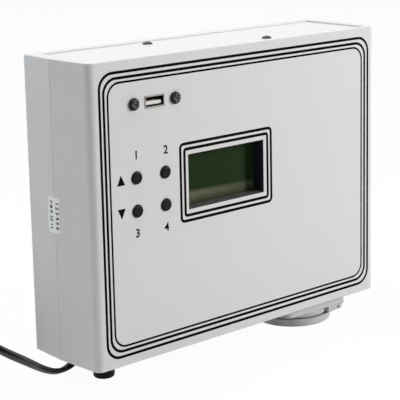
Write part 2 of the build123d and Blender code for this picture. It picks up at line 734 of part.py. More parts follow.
# ---------------------------------------------------------------- outlet
EAR_SPANS = ((3.6, 8.6), (47.4, 52.4))
EAR_ROOT = -FLANGE_DROP + 1.0  # the ears and the collar reach this far up into the flange
EAR_OUTLINE = [(74.9, EAR_ROOT), (74.9, -9.0), (86.7, -8.3), (88.3, -FLANGE_DROP),
               (88.3, EAR_ROOT)]
BARREL_SPAN = (9.0, 47.0)
BARREL_RADIUS = 1.8
BARREL_GAP = 0.3           # round the barrel, to the collar
HINGE_PIN_RADIUS = 1.0
PIN_SPAN = (4.4, 51.4)     # its front end sits a little inside the ear
NOTCH_X = (73.9, 74.9)
NOTCH_DEPTH = 11.0
FLANGE_TOP = 0.15


def flange_plate(inset, z_low, z_high):
    """Plate of the flange's outline, its left corners rounder than its right ones."""
    half = FLANGE_LENGTH / 2 - inset
    plate = block((FLANGE_X[0] + inset, FLANGE_X[1] - inset),
                  (OUTLET_Y - half, OUTLET_Y + half), (z_low, z_high))
    left = plate.edges().filter_by(Axis.Z).sort_by(Axis.X)[:2]
    plate = fillet(left, FLANGE_CORNERS[0] - inset)
    right = plate.edges().filter_by(Axis.Z).sort_by(Axis.X)[-2:]
    return fillet(right, max(FLANGE_CORNERS[1] - inset, 0.3))


def make_outlet_gasket():
    sheet = flange_plate(FLANGE_INSET + 0.4, FLANGE_TOP, PLATE_RECESS)
    sheet -= upright(OUTLET_X, OUTLET_Y, CUP_RADIUS + 0.3, 0, 2)
    for dx, dy in corners(both_sides(OUTLET_SCREW_X), both_sides(OUTLET_SCREW_Y)):
        sheet -= upright(OUTLET_X + dx, OUTLET_Y + dy, OUTLET_SCREW_RADIUS + 0.1, 0, 2)
    return sheet


WELL_TOP = WELL_DEPTH - COLLAR_DROP


def make_hinge_ear(low, high):
    """Ear between two depths; it narrows away from the flange."""
    outline = Polyline(*[place(x, low, z) for x, z in EAR_OUTLINE], close=True)
    return extrude(make_face(outline), high - low, dir=(0, 1, 0))


def make_outlet_flange():
    """Rectangular flange with the round collar that the lid closes on and the hinge's two ears."""
    lip = flange_plate(0, -FLANGE_DROP, -FLANGE_DROP + FLANGE_LIP)
    lip = chamfer(lip.faces().sort_by(Axis.Z)[-1].edges(), FLANGE_INSET)
    lip = fillet(lip.faces().sort_by(Axis.Z)[0].edges(), FLANGE_EDGE)
    flange = lip + flange_plate(FLANGE_INSET, -FLANGE_DROP + 0.5, FLANGE_TOP)
    collar = upright(LID_X, OUTLET_Y, COLLAR_RADIUS, -COLLAR_DROP, EAR_ROOT)
    collar -= block((HINGE_X - BARREL_RADIUS - BARREL_GAP, HINGE_X + 10),
                    (EAR_SPANS[0][1], EAR_SPANS[1][0]), (-COLLAR_DROP - 1, -FLANGE_DROP))
    body = flange + collar
    for low, high in EAR_SPANS:
        body += make_hinge_ear(low, high)
    body -= block(NOTCH_X, (0, NOTCH_DEPTH), (-COLLAR_DROP - 1, -FLANGE_DROP - 0.9))
    body -= upright(OUTLET_X, OUTLET_Y, WELL_RADIUS, -COLLAR_DROP - 1, FLANGE_TOP + 1)
    for dx, dy in corners(both_sides(OUTLET_SCREW_X), both_sides(OUTLET_SCREW_Y)):
        x, y = OUTLET_X + dx, OUTLET_Y + dy
        body -= upright(x, y, OUTLET_SCREW_RADIUS + 0.1, -COLLAR_DROP - 1, 1)
        body -= upright(x, y, 2.75, -COLLAR_DROP - 1, -FLANGE_DROP + 2.2)
    body -= level(HINGE_X, -HINGE_DROP, HINGE_PIN_RADIUS + 0.03, 3.0, PIN_SPAN[1])
    return body


def make_outlet_cup():
    """Round wall of the well, from the flange up to the contact base."""
    wall = upright(OUTLET_X, OUTLET_Y, CUP_RADIUS, FLANGE_TOP, WELL_TOP)
    return wall - upright(OUTLET_X, OUTLET_Y, WELL_RADIUS, FLANGE_TOP - 1, WELL_TOP + 1)


def make_outlet_base():
    """Floor of the well, which holds the two sleeves and the earth clips."""
    base = upright(OUTLET_X, OUTLET_Y, CUP_RADIUS, WELL_TOP, CUP_TOP)
    for side in both_sides(PIN_SPACING / 2):
        base -= upright(OUTLET_X + side, OUTLET_Y, 3.05, WELL_TOP - 1, CUP_TOP + 1)
    for side in both_sides(16.3):
        base -= block((OUTLET_X - 2.1, OUTLET_X + 2.1),
                      (OUTLET_Y + side - 0.55, OUTLET_Y + side + 0.55), (WELL_TOP - 1, CUP_TOP + 1))
    return base


def make_outlet_sockets():
    """Brass sleeves that the plug's two pins go into, each with its screw post."""
    sleeves = []
    low = WELL_TOP + 0.4
    for side in both_sides(PIN_SPACING / 2):
        sleeve = upright(OUTLET_X + side, OUTLET_Y, 3.0, low, CUP_TOP + 2)
        sleeve -= upright(OUTLET_X + side, OUTLET_Y, 2.45, low - 1, CUP_TOP - 1)
        sleeves.append(sleeve)
    return sleeves


def make_earth_clips():
    clips = []
    for side in (-1, 1):
        y = sorted((OUTLET_Y + side * 15.8, OUTLET_Y + side * 16.8))
        strip = block((OUTLET_X - 2, OUTLET_X + 2), tuple(y), (-4.0, CUP_TOP + 2))
        wing = block((OUTLET_X - 2, OUTLET_X + 2), tuple(y), (-4.0, WELL_TOP - 2))
        hook_y = sorted((OUTLET_Y + side * 16.8, OUTLET_Y + side * 18.4))
        hook = block((OUTLET_X - 2, OUTLET_X + 2), tuple(hook_y), (-4.0, -3.0))
        clips.append(strip + wing + hook)
    return clips


def make_outlet_screws():
    screws = []
    seat = -FLANGE_DROP + 2.2
    for dx, dy in corners(both_sides(OUTLET_SCREW_X), both_sides(OUTLET_SCREW_Y)):
        x, y = OUTLET_X + dx, OUTLET_Y + dy
        head = upright(x, y, 2.6, seat - 1.8, seat)
        head = fillet(head.edges().sort_by(Axis.Z)[0], 0.7)
        head -= block((x - 1.5, x + 1.5), (y - 0.35, y + 0.35), (seat - 3, seat - 1.0))
        screws.append(head + upright(x, y, OUTLET_SCREW_RADIUS, seat, 6.0))
    return screws


def make_outlet_lid():
    disc = upright(LID_X, OUTLET_Y, LID_RADIUS, FLOOR, -LID_TOP)
    disc = fillet(disc.edges().sort_by(Axis.Z)[0], 1.2)
    cut = block((HINGE_X - 0.7, HINGE_X + 20), (0, CASE_DEPTH), (FLOOR - 1, 0))
    disc -= cut
    disc -= upright(OUTLET_X, OUTLET_Y, WELL_RADIUS - 1.5, -LID_TOP - 2.6, -LID_TOP + 1)
    rim = upright(OUTLET_X, OUTLET_Y, WELL_RADIUS - 0.7, -LID_TOP, -LID_TOP + 1.6)
    rim -= upright(OUTLET_X, OUTLET_Y, WELL_RADIUS - 2.2, -LID_TOP - 1, 0)
    barrel = level(HINGE_X, -HINGE_DROP, BARREL_RADIUS, *BARREL_SPAN)
    arm = block((HINGE_X - BARREL_RADIUS, HINGE_X), BARREL_SPAN, (-LID_TOP - 2, -HINGE_DROP))
    lid = disc + rim + barrel + arm
    lid -= level(HINGE_X, -HINGE_DROP, HINGE_PIN_RADIUS + 0.05,
                 BARREL_SPAN[0] - 1, BARREL_SPAN[1] + 1)
    lid -= block((HINGE_X - BARREL_RADIUS - BARREL_GAP, HINGE_X + 3), SPRING_GAP,
                 (-HINGE_DROP - BARREL_RADIUS - 0.2, -FLANGE_DROP))
    return lid


SPRING_GAP = (24.0, 32.0)
SPRING_WIRE = 0.35


def make_lid_pin():
    return level(HINGE_X, -HINGE_DROP, HINGE_PIN_RADIUS, *PIN_SPAN)


def make_lid_spring():
    """Close-wound return spring round the hinge pin."""
    length = SPRING_GAP[1] - SPRING_GAP[0] - 1.4
    line = Helix(pitch=1.1, height=length, radius=HINGE_PIN_RADIUS + 0.15 + SPRING_WIRE)
    wire = sweep(Plane(line @ 0, z_dir=line % 0) * Circle(SPRING_WIRE), path=line)
    start = place(HINGE_X, SPRING_GAP[1] - 0.7, -HINGE_DROP)
    return Pos(*start) * Rot(90, 0, 0) * wire


# ---------------------------------------------------------------- mains lead
BUSHING_END = -3.0
BUSHING_BARB = 15.0        # its tapered length inside the case


def make_cord_bushing():
    grip = upright(LEAD_X, LEAD_Y, BUSHING_RADIUS - 0.05, PLATE_RECESS, PLATE_RECESS + PLATE_THICK)
    inside = PLATE_RECESS + PLATE_THICK
    barb = Pos(*place(LEAD_X, LEAD_Y, inside + BUSHING_BARB / 2)) * Cone(4.7, 3.2, BUSHING_BARB)
    brim = upright(LEAD_X, LEAD_Y, 5.4, PLATE_RECESS - 1.2, PLATE_RECESS)
    tail_height = PLATE_RECESS - 1.2 - BUSHING_END
    tail = Pos(*place(LEAD_X, LEAD_Y, BUSHING_END + tail_height / 2)) * Cone(2.9, 4.2, tail_height)
    return grip + barb + brim + tail


LEAD_Z = FLOOR + TUBE_CENTRE
LEAD_ROUTE = [
    (LEAD_X, LEAD_Y, BUSHING_END),
    (LEAD_X, LEAD_Y, -7.4),
    (-98.4, 46.4, -11.2),
    (-104.0, 46.3, LEAD_Z),
    (-110.0, 47.6, LEAD_Z),
    (-113.3, 53.2, LEAD_Z),
    (-113.6, 61.5, LEAD_Z),
    (-113.1, 74.5, LEAD_Z),
    (-113.4, 92.0, LEAD_Z),
    (-112.9, 109.0, LEAD_Z),
    (COIL_X + COIL_RADIUS, COIL_Y, LEAD_Z + 0.6),
]
TAIL_Z = FLOOR + 6.85
TAIL_RADIUS = COIL_RADIUS - COIL_PITCH * (1 - TAIL_TURN / math.tau)
TAIL_ROUTE = [
    (COIL_X + TAIL_RADIUS * math.cos(TAIL_TURN), COIL_Y + TAIL_RADIUS * math.sin(TAIL_TURN),
     FLOOR + 7.9),
    (-179.6, 100.6, FLOOR + 7.6),
    (PLUG_X - 0.3, 92.0, FLOOR + 7.1),
    (PLUG_X, PLUG_REAR, TAIL_Z),
]


def route_radii(points):
    """Arc radius at each corner: 0.45 of the shorter run over the tangent of half the turn."""
    radii = []
    for before, here, after in zip(points, points[1:], points[2:]):
        first = Vector(*here) - Vector(*before)
        second = Vector(*after) - Vector(*here)
        half_turn = math.radians(first.get_angle(second)) / 2
        radii.append(0.45 * min(first.length, second.length) / math.tan(half_turn))
    return radii


def make_cord(name, points):
    radii = route_radii(points)
    print(name, "radii", [round(radius, 1) for radius in radii])
    line = FilletPolyline(*[place(*point) for point in points], radius=radii)
    tube = sweep(Plane(line @ 0, z_dir=line % 0) * Circle(TUBE_RADIUS), path=line)
    section = math.pi * TUBE_RADIUS ** 2
    print(name, "length", round(line.length, 1), "volume share",
          round(tube.volume / (section * line.length), 4))
    return tube


COIL_INNER = COIL_RADIUS - COIL_PITCH * COIL_LAYER_TURNS
COIL_MARGIN = 1.9          # from a turn's middle to the coil's outside
COIL_TOP = FLOOR + 2 * LEAD_WIDTH + 0.4


def make_cord_coil():
    """Two layers of four turns, the lead standing on its edge."""
    ring = upright(COIL_X, COIL_Y, COIL_RADIUS + COIL_MARGIN, FLOOR, COIL_TOP)
    return ring - upright(COIL_X, COIL_Y, COIL_INNER - COIL_MARGIN, FLOOR - 1, COIL_TOP + 1)


def make_cord_tie():
    """Twisted wire band round the coil's far side."""
    y = (COIL_Y + COIL_INNER - COIL_MARGIN - 0.12, COIL_Y + COIL_RADIUS + COIL_MARGIN + 0.05)
    outer = block((COIL_X - 2, COIL_X + 2), (y[0] - 0.8, y[1] + 0.8), (FLOOR, COIL_TOP + 0.8))
    inner = block((COIL_X - 3, COIL_X + 3), y, (FLOOR - 1, COIL_TOP))
    knot = block((COIL_X - 1.2, COIL_X + 1.2), (y[0] - 8.0, y[0] - 0.8), (FLOOR, FLOOR + 2.4))
    return outer - inner + knot


PLUG_LENGTH = 36.0
PLUG_WIDTH = 35.3
PLUG_THICK = 13.7


def make_plug_body():
    """Flat two-pin plug lying on its broad side, its pins towards the front."""
    x = TAIL_ROUTE[-1][0]
    rear = TAIL_ROUTE[-1][1]
    face = rear - PLUG_LENGTH
    half = PLUG_WIDTH / 2
    outline = [(x - half, face), (x + half, face), (x + half, face + 15),
               (x + 7, rear - 6), (x + 4, rear), (x - 4, rear), (x - 7, rear - 6),
               (x - half, face + 15)]
    body = plan_block(outline, FLOOR, FLOOR + PLUG_THICK)
    return fillet(body.edges().filter_by(Axis.Z), 2.0)


def make_plug_pins():
    x = TAIL_ROUTE[-1][0]
    face = TAIL_ROUTE[-1][1] - PLUG_LENGTH
    pins = []
    for side in both_sides(PIN_SPACING / 2):
        pin = level(x + side, TAIL_Z, 2.0, face - 19.0, face)
        pins.append(fillet(pin.edges().sort_by(Axis.Y)[0], 1.2))
    return pins


# ---------------------------------------------------------------- write every sub-part
os.makedirs("parts", exist_ok=True)

save("front_cover", make_front_cover())
save("rear_tray", make_rear_tray())
save("top_plate", make_plate(CASE_HEIGHT - PLATE_RECESS - PLATE_THICK))
save("bottom_plate", make_bottom_plate())
save("top_plate_screws", *plate_screws(CASE_HEIGHT - PLATE_RECESS, 1))
save("bottom_plate_screws", *plate_screws(PLATE_RECESS, -1))
save("case_screws", *make_case_screws())
save("seal_label", make_seal_label())

save("display_spacer", make_display_spacer())
save("display_bezel", make_display_bezel())
save("display_glass", make_display_glass())
save("display_board", make_display_board())

save("key_up", make_key(KEY_LEFT_X, KEY_UPPER_Z))
save("key_down", make_key(KEY_LEFT_X, KEY_LOWER_Z))
save("key_menu", make_key(KEY_RIGHT_X, KEY_UPPER_Z))
save("key_enter", make_key(KEY_RIGHT_X, KEY_LOWER_Z))
save("key_switches", *make_switches())
save("key_board", make_key_board())
save("board_screws", *make_board_screws())

save("usb_body", make_usb_body())
save("usb_shell", make_usb_shell())
save("usb_tongue", make_usb_tongue())
save("usb_contacts", *make_usb_contacts())
save("usb_screws", *make_usb_screws())

save("main_board", make_main_board())
save("microchips", *make_microchips())
save("relay", make_relay())
save("capacitors", *make_capacitors())
save("voltage_regulator", make_regulator())
save("heat_sink", make_heat_sink())
save("coin_cell_holder", make_cell_holder())
save("coin_cell", make_coin_cell())
save("board_headers", *make_headers())
save("terminal_block", make_terminal_block())
save("transformer_core", make_transformer_core())
save("transformer_winding", make_transformer_winding())
save("transformer_brackets", *make_transformer_brackets())
save("transformer_screws", *make_transformer_screws())
save("inner_leads", *make_inner_leads())

save("fuse_holder", make_fuse_holder())
save("fuse_nut", make_fuse_nut())
save("fuse_cap", make_fuse_cap())
save("fuse", make_fuse())

save("outlet_gasket", make_outlet_gasket())
save("outlet_flange", make_outlet_flange())
save("outlet_cup", make_outlet_cup())
save("outlet_base", make_outlet_base())
save("outlet_sockets", *make_outlet_sockets())
save("earth_clips", *make_earth_clips())
save("outlet_screws", *make_outlet_screws())
save("outlet_lid", make_outlet_lid())
save("lid_pin", make_lid_pin())
save("lid_spring", make_lid_spring())

save("cord_bushing", make_cord_bushing())
save("mains_cord", make_cord("mains_cord", LEAD_ROUTE))
save("cord_coil", make_cord_coil())
save("cord_tail", make_cord("cord_tail", TAIL_ROUTE))
save("cord_tie", make_cord_tie())
save("plug_body", make_plug_body())
save("plug_pins", *make_plug_pins())
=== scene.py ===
import math

import bpy
from mathutils import Matrix, Vector


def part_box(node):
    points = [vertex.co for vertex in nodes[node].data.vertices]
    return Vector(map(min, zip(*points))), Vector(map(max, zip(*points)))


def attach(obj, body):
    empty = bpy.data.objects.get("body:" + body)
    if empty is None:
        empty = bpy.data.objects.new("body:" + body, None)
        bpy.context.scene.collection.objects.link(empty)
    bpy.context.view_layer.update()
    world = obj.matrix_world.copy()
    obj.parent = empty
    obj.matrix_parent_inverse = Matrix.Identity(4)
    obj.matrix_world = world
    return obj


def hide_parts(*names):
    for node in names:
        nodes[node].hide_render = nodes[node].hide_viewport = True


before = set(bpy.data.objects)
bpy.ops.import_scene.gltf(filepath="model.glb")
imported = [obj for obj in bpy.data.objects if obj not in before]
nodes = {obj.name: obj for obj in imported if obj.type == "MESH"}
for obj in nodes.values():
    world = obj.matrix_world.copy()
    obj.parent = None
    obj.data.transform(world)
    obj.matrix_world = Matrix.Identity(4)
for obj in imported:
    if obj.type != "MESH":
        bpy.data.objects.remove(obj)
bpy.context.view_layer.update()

# ------------------------------------------------------------------ camera
# A long lens from the left of the face and a little above it. Places on the clock are in
# millimetres: x from the middle, depth back from the face, height up from the case's bottom.
FACE_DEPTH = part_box("front_cover")[0][1] * 1000
CASE_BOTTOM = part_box("front_cover")[0][2] * 1000
AZIMUTH = math.radians(-42.43)
ELEVATION = math.radians(11.13)
ROLL = math.radians(-0.94)
DISTANCE = 0.8389


def at(x, depth, height):
    return Vector((x, FACE_DEPTH + depth, CASE_BOTTOM + height)) / 1000


target = at(-7.8, 0, 120.4)
back = Vector((math.sin(AZIMUTH) * math.cos(ELEVATION),
               -math.cos(AZIMUTH) * math.cos(ELEVATION),
               math.sin(ELEVATION)))
right = back.cross(Vector((0, 0, -1))).normalized()
up = back.cross(right)
turned_right = right * math.cos(ROLL) + up * math.sin(ROLL)
turned_up = up * math.cos(ROLL) - right * math.sin(ROLL)

bpy.ops.object.camera_add()
camera = bpy.context.object
camera.name = "camera"
axes = Matrix((turned_right, turned_up, back)).transposed().to_4x4()
camera.matrix_world = Matrix.Translation(target + back * DISTANCE) @ axes
camera.data.sensor_fit = "HORIZONTAL"
camera.data.lens = 127.5
camera.data.shift_x = -0.089
camera.data.shift_y = -0.16
camera.data.clip_end = 10
bpy.context.scene.camera = camera
bpy.context.scene.view_settings.view_transform = "Standard"


# ------------------------------------------------------------------ room
# White table and surroundings, seen as white by the camera, in reflections and through glass.
# The table keeps a faint shadow. Two large soft lamps and a weak cool one light the clock.
ROOM_LEVEL = 0.10
FLOOR_GLOW = 0.96          # how much of the table is plain white; the rest takes the shadow


def white_ray(tree):
    """1 for rays from the camera, from glossy surfaces and through clear ones, 0 for others."""
    path = tree.nodes.new("ShaderNodeLightPath")
    seen = path.outputs["Is Camera Ray"]
    for kind in ("Is Glossy Ray", "Is Transmission Ray"):
        either = tree.nodes.new("ShaderNodeMath")
        either.operation = "MAXIMUM"
        tree.links.new(seen, either.inputs[0])
        tree.links.new(path.outputs[kind], either.inputs[1])
        seen = either.outputs[0]
    return seen


bpy.ops.mesh.primitive_plane_add(size=8)
floor = bpy.context.object
floor.name = "floor"
floor.location.z = -0.0002

floor_paint = bpy.data.materials.new("floor_white")
floor_paint.use_nodes = True
tree = floor_paint.node_tree
matte = tree.nodes["Principled BSDF"]
matte.inputs["Base Color"].default_value = (0.80, 0.80, 0.80, 1)
matte.inputs["Roughness"].default_value = 0.9
white = tree.nodes.new("ShaderNodeEmission")
white.inputs["Strength"].default_value = 1.0
share = tree.nodes.new("ShaderNodeMath")
share.operation = "MULTIPLY"
share.inputs[1].default_value = FLOOR_GLOW
tree.links.new(white_ray(tree), share.inputs[0])
blend = tree.nodes.new("ShaderNodeMixShader")
tree.links.new(share.outputs[0], blend.inputs["Fac"])
tree.links.new(matte.outputs[0], blend.inputs[1])
tree.links.new(white.outputs[0], blend.inputs[2])
tree.links.new(blend.outputs[0], tree.nodes["Material Output"].inputs["Surface"])
floor.data.materials.append(floor_paint)

world = bpy.data.worlds.new("room")
bpy.context.scene.world = world
world.use_nodes = True
tree = world.node_tree
room_light = tree.nodes["Background"]
room_light.inputs["Color"].default_value = (1, 1, 1, 1)
room_light.inputs["Strength"].default_value = ROOM_LEVEL
backdrop = tree.nodes.new("ShaderNodeBackground")
backdrop.inputs["Color"].default_value = (1, 1, 1, 1)
backdrop.inputs["Strength"].default_value = 1.0
blend = tree.nodes.new("ShaderNodeMixShader")
tree.links.new(white_ray(tree), blend.inputs["Fac"])
tree.links.new(room_light.outputs[0], blend.inputs[1])
tree.links.new(backdrop.outputs[0], blend.inputs[2])
tree.links.new(blend.outputs[0], tree.nodes["World Output"].inputs["Surface"])


def soft_lamp(name, place, aim, size, watts, color=(1, 1, 1)):
    bpy.ops.object.light_add(type="AREA", location=place)
    lamp = bpy.context.object
    lamp.name = name
    lamp.data.shape = "SQUARE"
    lamp.data.size = size
    lamp.data.energy = watts
    lamp.data.color = color
    lamp.rotation_euler = (Vector(aim) - Vector(place)).to_track_quat("-Z", "Y").to_euler()


soft_lamp("lamp_front_right", (0.86, -0.88, 0.54), (0, 0, 0.09), 0.30, 9.8,
          color=(1, 0.985, 0.965))
soft_lamp("lamp_top", (-0.15, 0.1, 1.5), (0, 0, 0.1), 1.0, 18.8)
soft_lamp("lamp_left_rear", (-0.60, 1.10, 0.35), (-0.1, 0, 0.1), 0.5, 3.6, color=(0.78, 0.89, 1))


# ------------------------------------------------------------------ mains lead
# Flat black two-core PVC lead, 5.8 by 3.2 mm. It drops out of its bushing, turns onto its edge
# along the side of the case, and its spare length is a tied coil of two layers.
def new_group(name, inputs, outputs):
    group = bpy.data.node_groups.new(name, "ShaderNodeTree")
    for label, kind, value in inputs:
        socket = group.interface.new_socket(name=label, in_out="INPUT", socket_type=kind)
        if value is not None:
            socket.default_value = value
    for label, kind in outputs:
        group.interface.new_socket(name=label, in_out="OUTPUT", socket_type=kind)
    return group, group.nodes.new("NodeGroupInput"), group.nodes.new("NodeGroupOutput")


def noise(tree, coordinates, scale, detail):
    """A noise whose scale is a number or another node's output."""
    node = tree.nodes.new("ShaderNodeTexNoise")
    node.inputs["Detail"].default_value = detail
    tree.links.new(coordinates, node.inputs["Vector"])
    if isinstance(scale, (int, float)):
        node.inputs["Scale"].default_value = scale
    else:
        tree.links.new(scale, node.inputs["Scale"])
    return node.outputs["Fac"]


def maths(tree, operation, first, second, clamp=False):
    """A maths node on two values, each a number or another node's output."""
    node = tree.nodes.new("ShaderNodeMath")
    node.operation = operation
    node.use_clamp = clamp
    for socket, value in zip(node.inputs, (first, second)):
        if isinstance(value, (int, float)):
            socket.default_value = value
        else:
            tree.links.new(value, socket)
    return node.outputs[0]


def tint(tree, share, first, second):
    """Colour between two colours, each four numbers or another node's output."""
    node = tree.nodes.new("ShaderNodeMix")
    node.data_type = "RGBA"
    tree.links.new(share, node.inputs["Factor"])
    for socket, value in zip(node.inputs[6:8], (first, second)):
        if isinstance(value, tuple):
            socket.default_value = value
        else:
            tree.links.new(value, socket)
    return node.outputs[2]


def make_skin_group():
    """Skin of a moulded or painted piece: cloudy colour, dust that lies on top, a fine grain."""
    group, given, made = new_group(
        "moulded_skin",
        [("Color", "NodeSocketColor", (0.8, 0.8, 0.8, 1)),
         ("Dust", "NodeSocketColor", (0.5, 0.49, 0.46, 1)),
         ("Cloudiness", "NodeSocketFloat", 0.06),
         ("Settled", "NodeSocketFloat", 0.0),
         ("Grain Scale", "NodeSocketFloat", 1500.0),
         ("Roughness", "NodeSocketFloat", 0.5)],
        [("Color", "NodeSocketColor"), ("Roughness", "NodeSocketFloat"),
         ("Height", "NodeSocketFloat")])
    place = group.nodes.new("ShaderNodeTexCoord").outputs["Object"]
    facing = group.nodes.new("ShaderNodeSeparateXYZ")
    normal = group.nodes.new("ShaderNodeNewGeometry").outputs["Normal"]
    group.links.new(normal, facing.inputs[0])
    clouds = noise(group, place, 22.0, 4.0)
    specks = noise(group, place, 420.0, 2.0)
    grain = noise(group, place, given.outputs["Grain Scale"], 3.0)
    sparse = maths(group, "GREATER_THAN", specks, 0.73)
    cloudy = maths(group, "MULTIPLY", maths(group, "ADD", clouds, sparse),
                   given.outputs["Cloudiness"])
    settled = maths(group, "MULTIPLY", maths(group, "MAXIMUM", facing.outputs["Z"], 0.0),
                    maths(group, "MULTIPLY", given.outputs["Settled"], specks))
    dusty = maths(group, "ADD", cloudy, settled, clamp=True)
    color = tint(group, dusty, given.outputs["Color"], given.outputs["Dust"])
    spread = maths(group, "MULTIPLY", maths(group, "SUBTRACT", clouds, 0.5), 0.25)
    rough = maths(group, "ADD", given.outputs["Roughness"], spread)
    group.links.new(color, made.inputs["Color"])
    group.links.new(rough, made.inputs["Roughness"])
    group.links.new(grain, made.inputs["Height"])
    return group


def make_edge_group():
    """Mask of a piece's outer edges, broken up by noise; it paints a highlight along the edges."""
    group, given, made = new_group(
        "edge_mask", [("Width", "NodeSocketFloat", 0.0006)],
        [("Mask", "NodeSocketFloat"), ("Normal", "NodeSocketVector")])
    bevel = group.nodes.new("ShaderNodeBevel")
    bevel.samples = 6
    group.links.new(given.outputs["Width"], bevel.inputs["Radius"])
    flat = group.nodes.new("ShaderNodeNewGeometry").outputs["Normal"]
    same = group.nodes.new("ShaderNodeVectorMath")
    same.operation = "DOT_PRODUCT"
    group.links.new(bevel.outputs["Normal"], same.inputs[0])
    group.links.new(flat, same.inputs[1])
    bent = maths(group, "SUBTRACT", 1.0, same.outputs["Value"])
    place = group.nodes.new("ShaderNodeTexCoord").outputs["Object"]
    broken = maths(group, "MULTIPLY", maths(group, "MULTIPLY", bent, 4.0),
                   noise(group, place, 260.0, 3.0), clamp=True)
    group.links.new(broken, made.inputs["Mask"])
    group.links.new(bevel.outputs["Normal"], made.inputs["Normal"])
    return group


skin_group = make_skin_group()
edge_group = make_edge_group()


def moulded(name, color, dust=(0.5, 0.49, 0.46), cloudiness=0.06, settled=0.0, grain=1500.0,
            roughness=0.5, specular=0.5, bump=0.00002, edge=0.0004, edge_color=None,
            edge_share=0.3):
    """Material of a moulded, painted or plated piece. Returns it, its tree and its shader."""
    material = bpy.data.materials.new(name)
    material.use_nodes = True
    tree = material.node_tree
    shader = tree.nodes["Principled BSDF"]
    skin = tree.nodes.new("ShaderNodeGroup")
    skin.node_tree = skin_group
    skin.inputs["Color"].default_value = (*color, 1)
    skin.inputs["Dust"].default_value = (*dust, 1)
    skin.inputs["Cloudiness"].default_value = cloudiness
    skin.inputs["Settled"].default_value = settled
    skin.inputs["Grain Scale"].default_value = grain
    skin.inputs["Roughness"].default_value = roughness
    rounded_edges = tree.nodes.new("ShaderNodeGroup")
    rounded_edges.node_tree = edge_group
    rounded_edges.inputs["Width"].default_value = edge
    relief = tree.nodes.new("ShaderNodeBump")
    relief.inputs["Strength"].default_value = 0.6
    relief.inputs["Distance"].default_value = bump
    tree.links.new(skin.outputs["Height"], relief.inputs["Height"])
    tree.links.new(rounded_edges.outputs["Normal"], relief.inputs["Normal"])
    tree.links.new(relief.outputs["Normal"], shader.inputs["Normal"])
    # Painted highlight: the outer edges are tinted paler than the piece's colour, or given
    # edge_color, standing for light caught where the edges round over.
    painted_edge_highlight = (*(edge_color or tuple(min(1.0, part * 1.25 + 0.02) for part in color)), 1)
    share = maths(tree, "MULTIPLY", rounded_edges.outputs["Mask"], edge_share)
    tree.links.new(tint(tree, share, skin.outputs["Color"], painted_edge_highlight), shader.inputs["Base Color"])
    tree.links.new(skin.outputs["Roughness"], shader.inputs["Roughness"])
    shader.inputs["Specular IOR Level"].default_value = specular
    return material, tree, shader


def dress(material, *names):
    """Put one material on CAD nodes."""
    for name in names:
        slots = nodes[name].material_slots
        if not slots:
            nodes[name].data.materials.append(material)
        for slot in slots:
            slot.material = material


TABLE = -CASE_BOTTOM
LEAD_WIDTH = 5.8
LEAD_THICK = 3.2
LEAD_GAP = 0.12            # between the lead and the table
LAYER_GAP = 0.1            # between the coil's two layers
COIL_X = -150.95
COIL_DEPTH = 124.0
COIL_RADIUS = 37.75
COIL_PITCH = 3.3
COIL_TURNS = 7.57
LAYER_TURNS = 4            # turns in the lower layer, which runs inward; the upper runs outward
CLIMB_START = 3.82         # the lead climbs to the upper layer from this turn on
CLIMB_TURNS = 0.23
TURN_POINTS = 16
PROFILE_POINTS = 20
PROFILE_POWER = 0.75       # below 1 the oval section is fuller at its corners


def profile_point(index):
    angle = math.tau * index / PROFILE_POINTS
    across, through = math.cos(angle), math.sin(angle)
    return (math.copysign(abs(across) ** PROFILE_POWER, across) * LEAD_WIDTH / 2,
            math.copysign(abs(through) ** PROFILE_POWER, through) * LEAD_THICK / 2)


def resting(tilt):
    """Height of the lead's middle where it lies on the table, tilted about its length."""
    turn = math.radians(tilt)
    reach = max(x * math.sin(turn) + y * math.cos(turn)
                for x, y in map(profile_point, range(PROFILE_POINTS)))
    return TABLE + reach + LEAD_GAP


TOUCHDOWN = 1.4            # the lead's height over the table just before it lies down
RUN_GAP = 0.1              # and where it runs to the coil on its edge
route = [
    # x, depth, height, tilt in degrees
    (-95, 46, -3.0, 0),
    (-95.1, 46, -6.2, 0),
    (-98.6, 46.0, -8.9, 5),
    (-104.0, 45.4, resting(12) + TOUCHDOWN, 12),
]
for x, depth, tilt in ((-110.4, 46.2, 30), (-113.9, 52.4, 56), (-114.4, 61.5, 72),
                       (-114.2, 74.5, 86), (-114.4, 92.0, 90), (-113.2, 109.0, 90)):
    route.append((x, depth, resting(tilt) + RUN_GAP, tilt))
pull = 1 / math.cos(math.pi / TURN_POINTS)
for step in range(1, int(COIL_TURNS * TURN_POINTS) + 1):
    turn = step / TURN_POINTS
    if turn <= LAYER_TURNS:
        radius = COIL_RADIUS - COIL_PITCH * turn
    else:
        radius = COIL_RADIUS - COIL_PITCH * (2 * LAYER_TURNS - turn)
    climb = min(max((turn - CLIMB_START) / CLIMB_TURNS, 0), 1)
    height = resting(90) + climb * (LEAD_WIDTH + LAYER_GAP)
    angle = turn * math.tau
    route.append((COIL_X + pull * radius * math.cos(angle),
                  COIL_DEPTH + pull * radius * math.sin(angle), height, 90))
route += [
    (-179.6, 100.6, TABLE + 7.6, 60),
    (-176.3, 92.0, TABLE + 7.1, 10),
    (-176.0, 83.0, TABLE + 6.85, 0),
]

bpy.ops.curve.primitive_bezier_circle_add()
profile = bpy.context.object
profile.data.dimensions = "2D"
profile.data.splines.clear()
outline = profile.data.splines.new("POLY")
outline.use_cyclic_u = True
outline.points.add(PROFILE_POINTS - 1)
for index, point in enumerate(outline.points):
    x, y = profile_point(index)
    point.co = (x / 1000, y / 1000, 0, 1)

